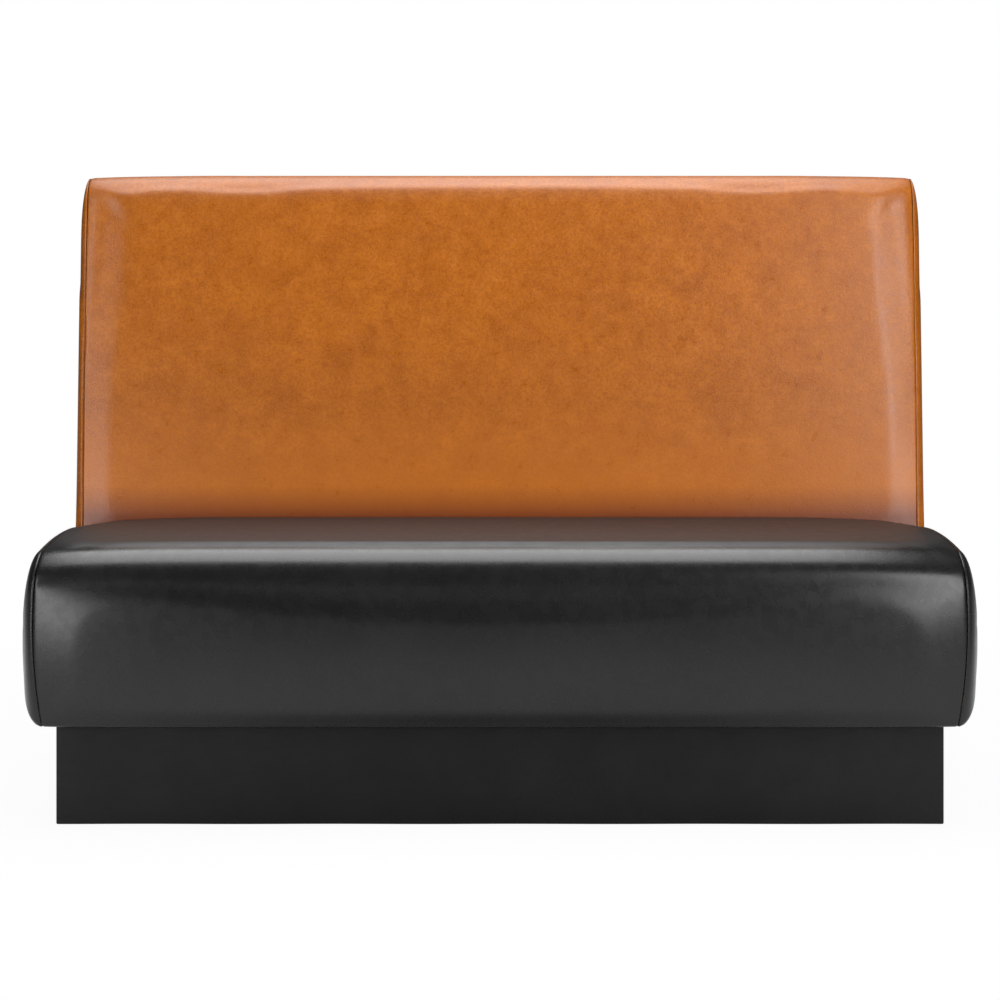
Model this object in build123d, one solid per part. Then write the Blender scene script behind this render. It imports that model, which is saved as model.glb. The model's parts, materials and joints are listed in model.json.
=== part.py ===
from build123d import *
import os
from math import cos, radians, sin, tan

os.makedirs("parts", exist_ok=True)

# A single restaurant booth: an upholstered back bolted behind an upholstered seat box,
# both standing on a hollow covered plinth with four hidden levelling feet.
# Millimetres. X runs along the bench, -Y is the front, Z is up, and the origin is
# on the floor under the middle of the booth.

# Overall sizes
overall_width = 1524.0
overall_depth = 635.0
overall_height = 1067.0
seat_height = 457.0
back_depth = 177.5
back_rake_degrees = 7.2
floor_gap = 3.0

# Upholstery
cover_thickness = 2.0
foam_slack = 0.3
unit_gap = 0.3
tightest_fold = 2.0
crown_power = 8
swell_turns = (0.0, 30.0, 60.0, 90.0)
crown_station_shares = (-1.0, -0.93, -0.78, -0.45, 0.0, 0.45, 0.78, 0.93, 1.0)

# Seat form: corner radii, how far each side bows, and how the end panels are drawn in
seat_underside = 171.0
seat_end_bulge = 27.0
seat_end_front_drop = 8.0
seat_end_rear_drop = 14.0
seat_end_draw = 8.0
seat_front_bow = 4.0
seat_top_bow = 2.0
seat_end_top_bow = 9.5
seat_front_top_radius_share = 0.2273
seat_front_bottom_radius = 12.0
seat_rear_top_radius = 14.0
seat_rear_bottom_radius = 8.0
seat_end_top_pull_share = 0.35
seat_end_bottom_pull_share = 0.28
seat_end_front_pull = 60.0
seat_end_rear_pull = 45.0

# Back form
back_end_bulge = 15.0
back_end_drop = 4.0
back_end_draw = 6.0
back_face_bow = 5.0
back_top_bow = 1.5
back_front_top_radius = 38.0
back_rear_top_radius = 14.0
back_bottom_radius = 6.0
back_end_top_pull_share = 0.335
back_end_bottom_pull_share = 0.536
back_end_front_pull = 25.0
back_end_rear_pull = 20.0
back_crease_depth = 17.0

# Boards
board_thickness = 19.0
panel_thickness = 9.0
hardboard_thickness = 5.0
dust_cover_thickness = 1.0
seat_padding_depth = 97.0
seat_front_padding = 23.5
seat_glue_block_size = 45.0
cover_margin = 15.0
rear_seam_drop = 30.0

# Back padding
back_foam_depth = 45.0
back_top_padding = 25.0
back_cover_lap = 72.0
inner_frame_share = 0.34
middle_rail_height = 70.0
middle_rail_rise = 200.0
foot_rail_height = 90.0

# Springs
spring_count = 9
spring_bar_count = 21
spring_wire = 3.8
spring_bar = 30.0
spring_end_margin = 95.0
clip_plate = 1.2
clip_wall = 1.4
clip_width = 16.0
clip_depth = 15.0
clip_slack = 0.2
deck_cloth_thickness = 3.0
deck_cloth_margin = 23.0

# Plinth
plinth_end_recess = 48.5
plinth_front_recess = 75.0
plinth_rear_recess = 17.5
plinth_wrap = 1.5
plinth_corner_radius = 5.0
plinth_wrap_return = 20.0
corner_block_size = 60.0
corner_block_rise = 20.0

# Levelling feet
foot_pad_diameter = 45.0
foot_pad_height = 7.0
foot_pad_edge = 1.5
foot_pad_floor = 2.5
foot_collar_width = 17.0
foot_stem_diameter = 10.0
foot_stem_length = 52.0
foot_running_gap = 0.08
foot_stop_gap = 0.3
foot_nut_flange = 22.0
foot_nut_plate = 1.5
foot_nut_barrel = 12.0
foot_nut_depth = 12.0
foot_nut_slack = 0.1

# Bolts between seat and back
bolt_diameter = 8.0
bolt_hole_slack = 0.5
bolt_head_width = 13.0
bolt_head_height = 5.3
bolt_tail = 4.0
bolt_place_shares = (-0.82, -0.17, 0.17, 0.82)
washer_diameter = 20.0
washer_thickness = 1.6
nut_height = 6.5

# Joining plates that hold the seat's cross rails to the plinth's ribs
plate_height = 70.0
plate_width = 30.0
plate_thickness = 2.5
plate_margin = 55.0
plate_slack = 0.3
screw_diameter = 4.5
screw_grip = 14.0
screw_head = 9.0
screw_head_height = 2.5
screw_spacing = 20.0
screw_edge = 12.0
screw_slack = 0.1

# Cutting tools run past what they cut by this much
overrun = 25.0

# Sizes that follow
half_width = overall_width / 2
front_y = -overall_depth / 2
rear_y = overall_depth / 2
crease_y = rear_y - back_depth
rake_slope = tan(radians(back_rake_degrees))
rake_cosine = cos(radians(back_rake_degrees))
seat_seam_x = half_width - seat_end_bulge
back_seam_x = half_width - back_end_bulge
foam_skin = cover_thickness + foam_slack
end_pad_skin = foam_skin + foam_slack
seat_body_height = seat_height - seat_underside
seat_front_top_radius = seat_front_top_radius_share * seat_body_height
seat_end_top_pull = seat_end_top_pull_share * seat_body_height
seat_end_bottom_pull = seat_end_bottom_pull_share * seat_body_height
back_body_height = overall_height - seat_underside
back_end_top_pull = back_end_top_pull_share * back_body_height
back_end_bottom_pull = back_end_bottom_pull_share * back_body_height
frame_bottom = seat_underside + cover_thickness
seat_frame_top = seat_height - seat_padding_depth
clip_outer = spring_wire / 2 + clip_slack + clip_wall
clip_axis_z = seat_frame_top + clip_plate + spring_wire / 2 + clip_slack
deck_bottom = clip_axis_z + clip_outer
deck_top = deck_bottom + deck_cloth_thickness
seat_board_front = front_y + seat_front_padding
seat_board_rear = seat_board_front + board_thickness
inner_frame_x = inner_frame_share * overall_width / 2
rail_top = seat_height - back_cover_lap
rib_rear = rear_y - foam_skin - hardboard_thickness
top_rail_top = overall_height - foam_skin - back_top_padding
top_rail_bottom = top_rail_top - board_thickness
rear_seam_z = overall_height - rear_seam_drop
plinth_half = half_width - plinth_end_recess
plinth_board_half = plinth_half - plinth_wrap
plinth_front = front_y + plinth_front_recess
plinth_board_front = plinth_front + plinth_wrap
plinth_rear = rear_y - plinth_rear_recess
plinth_bottom = floor_gap + plinth_wrap
plinth_top = frame_bottom - dust_cover_thickness
bay_front = plinth_board_front + board_thickness
bay_rear = plinth_rear - board_thickness
bay_side = plinth_board_half - board_thickness
foot_x = bay_side - corner_block_size / 2
foot_front = bay_front + corner_block_size / 2
foot_rear = bay_rear - corner_block_size / 2
foot_nut_bottom = corner_block_rise - foot_nut_plate
bolt_drop = (seat_height - (frame_bottom + seat_frame_top) / 2) / rake_cosine


def rake_y(height):
    """Depth of the raked face between seat and back at this height."""
    return crease_y + (height - seat_height) * rake_slope


def block(left, right, front, rear, bottom, top):
    """A box between these limits."""
    box = Box(right - left, rear - front, top - bottom)
    return Pos((left + right) / 2, (front + rear) / 2, (bottom + top) / 2) * box


def lean(shape):
    """Turns a shape made about the crease line to the rake of the back and puts it there."""
    return Pos(0, crease_y, seat_height) * Rot(-back_rake_degrees, 0, 0) * shape


def raked_block(left, right, near, far, bottom, top):
    """A raked board: near and far are its depths behind the raked face, cut level at both ends."""
    low = bottom - seat_height - overall_depth
    high = top - seat_height + overall_depth
    leaning = lean(block(left, right, near, far, low, high))
    slice_block = block(left, right, front_y, rear_y + overall_depth, bottom, top)
    return leaning & slice_block


def outline(points, radii, bows):
    """A closed outline across the booth: corners rounded, each side bowed outward."""
    count = len(points)
    arrivals = []
    departures = []
    edges = []
    for index in range(count):
        corner = points[index]
        back_way = (points[index - 1] - corner).normalized()
        onward = (points[(index + 1) % count] - corner).normalized()
        half_angle = radians(back_way.get_angle(onward)) / 2
        reach = radii[index] / tan(half_angle)
        arrivals.append(corner + back_way * reach)
        departures.append(corner + onward * reach)
    for index in range(count):
        corner = points[index]
        if radii[index] > 0:
            back_way = (arrivals[index] - corner).normalized()
            onward = (departures[index] - corner).normalized()
            half_angle = radians(back_way.get_angle(onward)) / 2
            shoulder = radii[index] / sin(half_angle) - radii[index]
            middle = corner + (back_way + onward).normalized() * shoulder
            edges.append(Edge.make_three_point_arc(arrivals[index], middle, departures[index]))
        start = departures[index]
        finish = arrivals[(index + 1) % count]
        if bows[index] > 0:
            outward = Vector(1, 0, 0).cross((finish - start).normalized())
            crown = (start + finish) / 2 + outward * bows[index]
            edges.append(Edge.make_three_point_arc(start, crown, finish))
        else:
            edges.append(Edge.make_line(start, finish))
    return Wire(edges)


def softened(radii, skin):
    """Corner radii reduced by the skin, none sharper than the tightest fold; zero stays a plain corner."""
    return [max(radius - skin, tightest_fold) if radius > 0 else 0 for radius in radii]


def seat_outline(x, skin, swell):
    """The seat's outline at x, inside by the skin, and drawn in as an end panel swells outward.

    Towards the end seams the top's front and rear edges drop while its middle stays full.
    """
    end_share = min(abs(x) / seat_seam_x, 1) ** crown_power
    bottom = seat_underside + skin + swell * seat_end_bottom_pull
    top = seat_height - seat_top_bow - skin - swell * seat_end_top_pull
    front_top = top - end_share * seat_end_front_drop
    rear_top = top - end_share * seat_end_rear_drop
    front = front_y + seat_front_bow + end_share * seat_end_draw + skin + swell * seat_end_front_pull
    rear_inset = (unit_gap + skin + swell * seat_end_rear_pull) / rake_cosine
    points = [
        Vector(x, rake_y(bottom) - rear_inset, bottom),
        Vector(x, front, bottom),
        Vector(x, front, front_top),
        Vector(x, rake_y(rear_top) - rear_inset, rear_top),
    ]
    top_bow = seat_top_bow + end_share * seat_end_top_bow
    radii = [seat_rear_bottom_radius, seat_front_bottom_radius, seat_front_top_radius, seat_rear_top_radius]
    return outline(points, softened(radii, skin), [0, seat_front_bow, top_bow, 0])


def back_outline(x, skin, swell):
    """The back's outline at x: the raked face is flat below the crease and crowned above it."""
    end_share = min(abs(x) / back_seam_x, 1) ** crown_power
    bottom = seat_underside + skin + swell * back_end_bottom_pull
    top = overall_height - back_top_bow - end_share * back_end_drop - skin - swell * back_end_top_pull
    crease = max(seat_height - back_crease_depth, bottom + back_end_rear_pull)
    face_inset = (skin + swell * back_end_front_pull) / rake_cosine
    rear = rear_y - skin - swell * back_end_rear_pull
    draw = end_share * back_end_draw
    points = [
        Vector(x, rear, bottom),
        Vector(x, rake_y(bottom) + face_inset, bottom),
        Vector(x, rake_y(crease) + face_inset, crease),
        Vector(x, rake_y(top) + face_inset + back_face_bow / 2 + draw, top),
        Vector(x, rear, top),
    ]
    radii = [back_bottom_radius, back_bottom_radius, 0, back_front_top_radius, back_rear_top_radius]
    return outline(points, softened(radii, skin), [0, 0, back_face_bow, back_top_bow, 0])


def crowned_form(outline_at, seam_x, skin):
    """The cushion between its two end seams."""
    return Solid.make_loft([outline_at(share * seam_x, skin, 0) for share in crown_station_shares])


def swollen_end(outline_at, seam_x, bulge, skin, side):
    """The soft end panel that swells out from the seam on one side."""
    outlines = []
    for turn in swell_turns:
        x = seam_x + (bulge - skin) * sin(radians(turn))
        outlines.append(outline_at(side * x, skin, 1 - cos(radians(turn))))
    return Solid.make_loft(outlines)


def seat_form(skin):
    return crowned_form(seat_outline, seat_seam_x, skin)


def back_form(skin):
    return crowned_form(back_outline, back_seam_x, skin)


def seat_end_form(skin, side):
    return swollen_end(seat_outline, seat_seam_x, seat_end_bulge, skin, side)


def back_end_form(skin, side):
    return swollen_end(back_outline, back_seam_x, back_end_bulge, skin, side)


def main_slice(front, rear, bottom, top):
    """A cutting block longer than the booth."""
    return block(-overall_width, overall_width, front, rear, bottom, top)


def behind_rake(depth):
    """A cutting block for all that lies more than this depth behind the raked face."""
    size = overall_width + overall_height
    return lean(block(-size, size, depth, depth + size, -size, size))


# Plinth


def plinth_outline(half, front, radius):
    """The plinth's plan with its two front corners rounded."""
    plan = Pos(0, (front + plinth_rear) / 2) * Rectangle(2 * half, plinth_rear - front)
    front_corners = plan.vertices().group_by(Axis.Y)[0]
    return fillet(front_corners, radius)


def upright(plan, bottom, top):
    """A plan raised into a solid between two heights."""
    return Pos(0, 0, bottom) * extrude(plan, top - bottom)


def plinth_solid():
    """The plinth's boards as one filled block, with the rounded front corners."""
    plan = plinth_outline(plinth_board_half, plinth_board_front, plinth_corner_radius - plinth_wrap)
    return upright(plan, plinth_bottom, plinth_top)


def plate_places():
    """Where the joining plates stand, on the outer face of a rib: side and depth of each."""
    rail_end = rake_y(frame_bottom) - board_thickness / rake_cosine
    return [(side, y) for side in (-1, 1) for y in (bay_front + plate_margin, rail_end - plate_margin)]


def screw_axes(shape):
    """The shape repeated at every plate screw: its own Z points out of the rib from the plate's face."""
    copies = []
    for side, y in plate_places():
        face = side * (inner_frame_x + board_thickness / 2 + plate_thickness)
        for level in (-1, 1):
            z = plinth_top + level * (plate_height / 2 - screw_edge)
            for step in (-1, 1):
                place = Pos(face, y + step * screw_spacing / 2, z) * Rot(0, side * 90, 0)
                copies.append(place * shape)
    return copies


def screw_holes():
    depth = screw_grip + plate_thickness
    return screw_axes(Cylinder(screw_diameter / 2 + screw_slack, 2 * depth))


def plinth_front_board():
    return plinth_solid() & main_slice(front_y, bay_front, 0, plinth_top)


def plinth_rear_board():
    return plinth_solid() & main_slice(bay_rear, plinth_rear, 0, plinth_top)


def plinth_side_board(side):
    near = side * bay_side
    far = side * plinth_board_half
    return block(min(near, far), max(near, far), bay_front, bay_rear, plinth_bottom, plinth_top)


def plinth_rib(side):
    x = side * inner_frame_x
    half = board_thickness / 2
    return block(x - half, x + half, bay_front, bay_rear, plinth_bottom, plinth_top) - screw_holes()


def foot_places():
    return [(-foot_x, foot_front), (foot_x, foot_front), (-foot_x, foot_rear), (foot_x, foot_rear)]


def plinth_corner_blocks():
    """Four hardwood blocks in the plinth's corners, bored for the feet."""
    blocks = []
    half = corner_block_size / 2
    for x, y in foot_places():
        top = corner_block_rise + corner_block_size
        solid = block(x - half, x + half, y - half, y + half, corner_block_rise, top)
        bore = Pos(x, y, top) * Cylinder(foot_nut_barrel / 2 + foot_nut_slack, 3 * corner_block_size)
        blocks.append(solid - bore)
    return blocks


def plinth_cover():
    """The vinyl wrap round the plinth's front and ends, turned under its lower edge."""
    outer = upright(plinth_outline(plinth_half, plinth_front, plinth_corner_radius), floor_gap, plinth_top)
    boards = upright(
        plinth_outline(plinth_board_half, plinth_board_front, plinth_corner_radius - plinth_wrap),
        plinth_bottom,
        plinth_top + overrun,
    )
    side = plinth_half - plinth_wrap_return
    front = plinth_front + plinth_wrap_return
    hollow = block(-side, side, front, plinth_rear + overrun, 0, plinth_top)
    return outer - boards - hollow


def foot_nuts():
    """Four tee nuts pressed up into the corner blocks."""
    nuts = []
    bore = Cylinder(foot_stem_diameter / 2 + foot_running_gap, 3 * foot_nut_depth)
    for x, y in foot_places():
        plate = Cylinder(foot_nut_flange / 2, foot_nut_plate, align=(Align.CENTER, Align.CENTER, Align.MIN))
        barrel = Cylinder(
            foot_nut_barrel / 2, foot_nut_plate + foot_nut_depth, align=(Align.CENTER, Align.CENTER, Align.MIN)
        )
        nuts.append(Pos(x, y, foot_nut_bottom) * (plate + barrel - bore))
    return nuts


def foot_pad(x, y):
    """One foot's round pad, domed, with a socket for its stem."""
    pad = Cylinder(foot_pad_diameter / 2, foot_pad_height, align=(Align.CENTER, Align.CENTER, Align.MIN))
    pad = fillet(pad.edges().group_by(Axis.Z)[-1], foot_pad_height / 2)
    pad = chamfer(pad.edges().group_by(Axis.Z)[0], foot_pad_edge)
    socket = Cylinder(
        foot_stem_diameter / 2 + foot_nut_slack, overrun, align=(Align.CENTER, Align.CENTER, Align.MIN)
    )
    return Pos(x, y, 0) * (pad - Pos(0, 0, foot_pad_floor) * socket)


def foot_stem(x, y):
    """One foot's stem: seated in the pad, with a hexagon that stops under the tee nut."""
    collar_top = foot_nut_bottom - foot_stop_gap
    collar = extrude(RegularPolygon(foot_collar_width / 2, 6, major_radius=False), collar_top - foot_pad_height)
    stem = Cylinder(
        foot_stem_diameter / 2,
        collar_top + foot_stem_length - foot_pad_floor,
        align=(Align.CENTER, Align.CENTER, Align.MIN),
    )
    return Pos(x, y, 0) * (Pos(0, 0, foot_pad_height) * collar + Pos(0, 0, foot_pad_floor) * stem)


# Seat


def bolt_axes(shape):
    """The shape repeated on each joining bolt's axis, its own Z pointing rearward along the bolt."""
    copies = []
    for share in bolt_place_shares:
        place = Pos(share * seat_seam_x, 0, -bolt_drop) * Rot(-90, 0, 0)
        copies.append(lean(place * shape))
    return copies


def bolt_holes():
    return bolt_axes(Cylinder(bolt_diameter / 2 + bolt_hole_slack, overall_depth / 2))


def seat_front_board():
    return block(
        -seat_seam_x, seat_seam_x, seat_board_front, seat_board_rear, frame_bottom, seat_frame_top
    )


def seat_rear_rail():
    rail = raked_block(-seat_seam_x, seat_seam_x, -board_thickness, 0, frame_bottom, seat_frame_top)
    return rail - bolt_holes()


def seat_inner_room(left, right):
    """The seat box's inside between front board and rear rail."""
    room = block(left, right, seat_board_rear, crease_y, frame_bottom, seat_frame_top)
    return room - behind_rake(-board_thickness)


def seat_end_board(side):
    near = side * (seat_seam_x - board_thickness)
    far = side * seat_seam_x
    return seat_inner_room(min(near, far), max(near, far))


def seat_cross_rail(side):
    x = side * inner_frame_x
    return seat_inner_room(x - board_thickness / 2, x + board_thickness / 2) - screw_holes()


def seat_glue_blocks():
    """Triangular blocks glued into the seat box's front corners and beside its cross rails."""
    blocks = []
    size = seat_glue_block_size
    side_x = seat_seam_x - board_thickness
    for x, way in ((-side_x, 1), (side_x, -1)):
        plan = make_face(Polyline(
            (x, seat_board_rear), (x + way * size, seat_board_rear), (x, seat_board_rear + size), close=True
        ))
        blocks.append(upright(plan, frame_bottom, seat_frame_top - board_thickness))
        rear = rake_y(frame_bottom) - board_thickness / rake_cosine
        plan = make_face(Polyline((x, rear), (x + way * size, rear), (x, rear - size), close=True))
        blocks.append(upright(plan, frame_bottom, seat_frame_top - board_thickness))
    return blocks


def spring_rows():
    """Where the springs run: x of each, and the first and last bar's depth."""
    reach = seat_seam_x - spring_end_margin
    first = (seat_board_front + seat_board_rear) / 2
    last = rake_y(seat_frame_top) - board_thickness / rake_cosine / 2
    rows = []
    for index in range(spring_count):
        rows.append((reach * (2 * index / (spring_count - 1) - 1), first, last))
    return rows


def seat_springs():
    """Zigzag springs, front to rear: straight bars joined by half turns, each one unbroken wire."""
    springs = []
    for x, first, last in spring_rows():
        pitch = (last - first) / (spring_bar_count - 1)
        edges = []
        for bar in range(spring_bar_count):
            way = 1 if bar % 2 == 0 else -1
            y = first + bar * pitch
            start = Vector(x - way * spring_bar / 2, y, clip_axis_z)
            finish = Vector(x + way * spring_bar / 2, y, clip_axis_z)
            edges.append(Edge.make_line(start, finish))
            if bar < spring_bar_count - 1:
                crest = Vector(x + way * (spring_bar / 2 + pitch / 2), y + pitch / 2, clip_axis_z)
                landing = Vector(x + way * spring_bar / 2, y + pitch, clip_axis_z)
                edges.append(Edge.make_three_point_arc(finish, crest, landing))
        path = Wire(edges)
        section = Plane(origin=path @ 0, z_dir=path % 0) * Circle(spring_wire / 2)
        springs.append(sweep(section, path))
    return springs


def spring_clips():
    """The clips on the front board and rear rail that hold each spring's end bars."""
    clips = []
    bore = Rot(0, 90, 0) * Cylinder(spring_wire / 2 + clip_slack, 2 * spring_bar)
    for x, first, last in spring_rows():
        for y in (first, last):
            plate = block(-clip_width / 2, clip_width / 2, -clip_depth / 2, clip_depth / 2,
                          seat_frame_top, seat_frame_top + clip_plate)
            loop = Pos(0, 0, clip_axis_z) * Rot(0, 90, 0) * Cylinder(clip_outer, clip_width)
            loop = loop & block(-clip_width, clip_width, -clip_depth, clip_depth,
                                seat_frame_top + clip_plate / 2, deck_top)
            clips.append(Pos(x, y, 0) * (plate + loop - Pos(0, 0, clip_axis_z) * bore))
    return clips


def seat_deck_cloth():
    """The stiff cloth over the springs that carries the seat foam."""
    rear = rake_y(deck_bottom) - board_thickness / rake_cosine
    side = seat_seam_x - deck_cloth_margin
    return block(-side, side, seat_board_front, rear, deck_bottom, deck_top)


def seat_foam():
    return seat_form(foam_skin) & main_slice(front_y, rear_y, deck_top, overall_height)


def seat_front_pad():
    return seat_form(foam_skin) & main_slice(front_y, seat_board_front, 0, deck_top)


def seat_end_pad(side):
    return seat_end_form(end_pad_skin, side)


def seat_top_cover():
    """The seat's long cover: over the top, down the front, turned under, and tucked behind."""
    cover = seat_form(0) - seat_form(cover_thickness)
    under = main_slice(seat_board_front + cover_margin, rear_y, 0, frame_bottom + board_thickness)
    behind = main_slice(0, rear_y, 0, rail_top)
    return cover - under - behind


def seat_end_cover(side):
    """One end panel's cover with the strip that is turned under the frame."""
    cover = seat_end_form(0, side) - seat_end_form(cover_thickness, side)
    near = side * (seat_seam_x - cover_margin)
    far = side * seat_seam_x
    strip = block(
        min(near, far), max(near, far), seat_board_front + board_thickness,
        rake_y(seat_underside) - board_thickness, seat_underside, frame_bottom,
    )
    return cover + strip


def seat_dust_cover():
    """The thin black cloth between the seat box and the plinth."""
    side = seat_seam_x - board_thickness
    rear = rake_y(frame_bottom) - unit_gap - dust_cover_thickness
    cloth = block(-side, side, seat_board_rear, rear, plinth_top, frame_bottom)
    return cloth - fixing_plates(plate_slack)


# Back


def back_rib(x, thickness):
    """An upright rib: a wedge with a shoulder where the padding starts."""
    left = x - thickness / 2
    right = x + thickness / 2
    lower = block(left, right, front_y, rib_rear, frame_bottom, rail_top)
    lower = lower & behind_rake(board_thickness)
    upper = block(left, right, front_y, rib_rear, rail_top, top_rail_bottom)
    upper = upper & behind_rake(back_foam_depth + panel_thickness)
    return lower + upper


def back_end_rib(side):
    return back_rib(side * (back_seam_x - board_thickness / 2), board_thickness)


def back_inner_rib(side):
    return back_rib(side * inner_frame_x, board_thickness)


def back_lower_rail():
    rail = raked_block(-back_seam_x, back_seam_x, 0, board_thickness, frame_bottom, rail_top)
    return rail - bolt_holes()


def back_top_rail():
    rail = block(-back_seam_x, back_seam_x, front_y, rib_rear, top_rail_bottom, top_rail_top)
    return rail & behind_rake(back_foam_depth)


def rib_spaces():
    """The three clear spans between the back's ribs."""
    inner_near = inner_frame_x - board_thickness / 2
    inner_far = inner_frame_x + board_thickness / 2
    end = back_seam_x - board_thickness
    return [(-end, -inner_far), (-inner_near, inner_near), (inner_far, end)]


def back_middle_rails():
    """Short rails between the ribs that back the front panel at half height."""
    bottom = seat_height + middle_rail_rise
    near = back_foam_depth + panel_thickness
    return [
        raked_block(left, right, near, near + board_thickness, bottom, bottom + middle_rail_height)
        for left, right in rib_spaces()
    ]


def back_foot_rails():
    """Short rails between the ribs at the back's rear foot, standing on the plinth's rear board."""
    return [
        block(left, right, rib_rear - board_thickness, rib_rear, frame_bottom, frame_bottom + foot_rail_height)
        for left, right in rib_spaces()
    ]


def back_front_panel():
    near = back_foam_depth
    return raked_block(-back_seam_x, back_seam_x, near, near + panel_thickness, rail_top, top_rail_bottom)


def back_rear_panel():
    rear = rib_rear + hardboard_thickness
    return block(-back_seam_x, back_seam_x, rib_rear, rear, frame_bottom, top_rail_top)


def back_foam():
    foam = back_form(foam_skin) & main_slice(front_y, rear_y, rail_top, overall_height)
    return foam - behind_rake(back_foam_depth)


def back_top_pad():
    pad = back_form(foam_skin) & main_slice(front_y, rear_y, top_rail_top, overall_height)
    return pad & behind_rake(back_foam_depth)


def back_end_pad(side):
    return back_end_form(end_pad_skin, side)


def back_front_cover():
    """The long tan cover: up the face, over the top and down to the rear seam."""
    cover = back_form(0) - back_form(cover_thickness)
    rear_part = main_slice(rib_rear, rear_y + overrun, 0, rear_seam_z)
    below = main_slice(front_y, rear_y + overrun, 0, rail_top)
    return cover - rear_part - below


def back_rear_cover():
    """The flat outside back, stretched over the rear panel."""
    return block(
        -back_seam_x, back_seam_x, rear_y - cover_thickness, rear_y,
        seat_underside + back_bottom_radius, rear_seam_z,
    )


def back_dust_cover():
    """The thin black cloth between the back's frame and the plinth."""
    cloth = main_slice(front_y, rib_rear, plinth_top, frame_bottom) & behind_rake(unit_gap)
    side = back_seam_x - board_thickness
    return cloth & block(-side, side, front_y, rear_y, plinth_top, frame_bottom)


def back_end_cover(side):
    return back_end_form(0, side) - back_end_form(cover_thickness, side)


# Hardware


def joining_bolts():
    """Hexagon bolts from inside the seat box into the back's lower rail."""
    head_front = -board_thickness - washer_thickness - bolt_head_height
    tail = board_thickness + washer_thickness + nut_height + bolt_tail
    head = Pos(0, 0, head_front) * extrude(RegularPolygon(bolt_head_width / 2, 6, major_radius=False),
                                           bolt_head_height)
    shank = Pos(0, 0, head_front) * Cylinder(
        bolt_diameter / 2, tail - head_front, align=(Align.CENTER, Align.CENTER, Align.MIN)
    )
    return bolt_axes(head + shank)


def joining_washers():
    """A washer under each bolt head and each nut."""
    ring = Cylinder(washer_diameter / 2, washer_thickness, align=(Align.CENTER, Align.CENTER, Align.MIN))
    ring = ring - Cylinder(bolt_diameter / 2 + bolt_hole_slack, overrun)
    front = bolt_axes(Pos(0, 0, -board_thickness - washer_thickness) * ring)
    rear = bolt_axes(Pos(0, 0, board_thickness) * ring)
    return front + rear


def joining_nuts():
    nut = extrude(RegularPolygon(bolt_head_width / 2, 6, major_radius=False), nut_height)
    nut = nut - Cylinder(bolt_diameter / 2 + foot_nut_slack, overrun)
    return bolt_axes(Pos(0, 0, board_thickness + washer_thickness) * nut)


def fixing_plates(slack):
    """Flat steel plates that join each plinth rib to the cross rail standing on it."""
    plates = []
    for side, y in plate_places():
        near = side * (inner_frame_x + board_thickness / 2)
        far = near + side * (plate_thickness + slack)
        half = plate_width / 2 + slack
        rise = plate_height / 2
        plates.append(block(
            min(near, far), max(near, far), y - half, y + half, plinth_top - rise, plinth_top + rise
        ))
    return plates


def drilled_plates():
    return [plate - screw_holes() for plate in fixing_plates(0)]


def plate_screws():
    """Pan-head screws through the plates into the ribs and cross rails."""
    shank = Cylinder(
        screw_diameter / 2, screw_grip + plate_thickness, align=(Align.CENTER, Align.CENTER, Align.MAX)
    )
    head = Cylinder(screw_head / 2, screw_head_height, align=(Align.CENTER, Align.CENTER, Align.MIN))
    head = fillet(head.edges().group_by(Axis.Z)[-1], screw_head_height / 2)
    return screw_axes(shank + head)


def write(node, shape):
    """Writes one sub-part; a list is a group of separate solids in one file."""
    pieces = shape if isinstance(shape, list) else [shape]
    solids = [solid for piece in pieces for solid in piece.solids()]
    export_step(solids[0] if len(solids) == 1 else Compound(children=solids), f"parts/{node}.step")


write("plinth_front_board", plinth_front_board())
write("plinth_rear_board", plinth_rear_board())
write("plinth_left_board", plinth_side_board(-1))
write("plinth_right_board", plinth_side_board(1))
write("plinth_left_rib", plinth_rib(-1))
write("plinth_right_rib", plinth_rib(1))
write("plinth_corner_blocks", plinth_corner_blocks())
write("plinth_cover", plinth_cover())
write("foot_nuts", foot_nuts())
for name, place in zip(("front_left", "front_right", "rear_left", "rear_right"), foot_places()):
    write(f"{name}_foot_pad", foot_pad(*place))
    write(f"{name}_foot_stem", foot_stem(*place))

write("seat_front_board", seat_front_board())
write("seat_rear_rail", seat_rear_rail())
write("seat_left_board", seat_end_board(-1))
write("seat_right_board", seat_end_board(1))
write("seat_left_cross_rail", seat_cross_rail(-1))
write("seat_right_cross_rail", seat_cross_rail(1))
write("seat_glue_blocks", seat_glue_blocks())
write("seat_springs", seat_springs())
write("spring_clips", spring_clips())
write("seat_deck_cloth", seat_deck_cloth())
write("seat_foam", seat_foam())
write("seat_front_pad", seat_front_pad())
write("seat_left_pad", seat_end_pad(-1))
write("seat_right_pad", seat_end_pad(1))
write("seat_top_cover", seat_top_cover())
write("seat_left_cover", seat_end_cover(-1))
write("seat_right_cover", seat_end_cover(1))
write("seat_dust_cover", seat_dust_cover())

write("back_left_rib", back_end_rib(-1))
write("back_right_rib", back_end_rib(1))
write("back_inner_left_rib", back_inner_rib(-1))
write("back_inner_right_rib", back_inner_rib(1))
write("back_lower_rail", back_lower_rail())
write("back_top_rail", back_top_rail())
write("back_middle_rails", back_middle_rails())
write("back_foot_rails", back_foot_rails())
write("back_front_panel", back_front_panel())
write("back_rear_panel", back_rear_panel())
write("back_foam", back_foam())
write("back_top_pad", back_top_pad())
write("back_left_pad", back_end_pad(-1))
write("back_right_pad", back_end_pad(1))
write("back_front_cover", back_front_cover())
write("back_rear_cover", back_rear_cover())
write("back_dust_cover", back_dust_cover())
write("back_left_cover", back_end_cover(-1))
write("back_right_cover", back_end_cover(1))

write("joining_bolts", joining_bolts())
write("joining_washers", joining_washers())
write("joining_nuts", joining_nuts())
write("fixing_plates", drilled_plates())
write("plate_screws", plate_screws())
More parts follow.
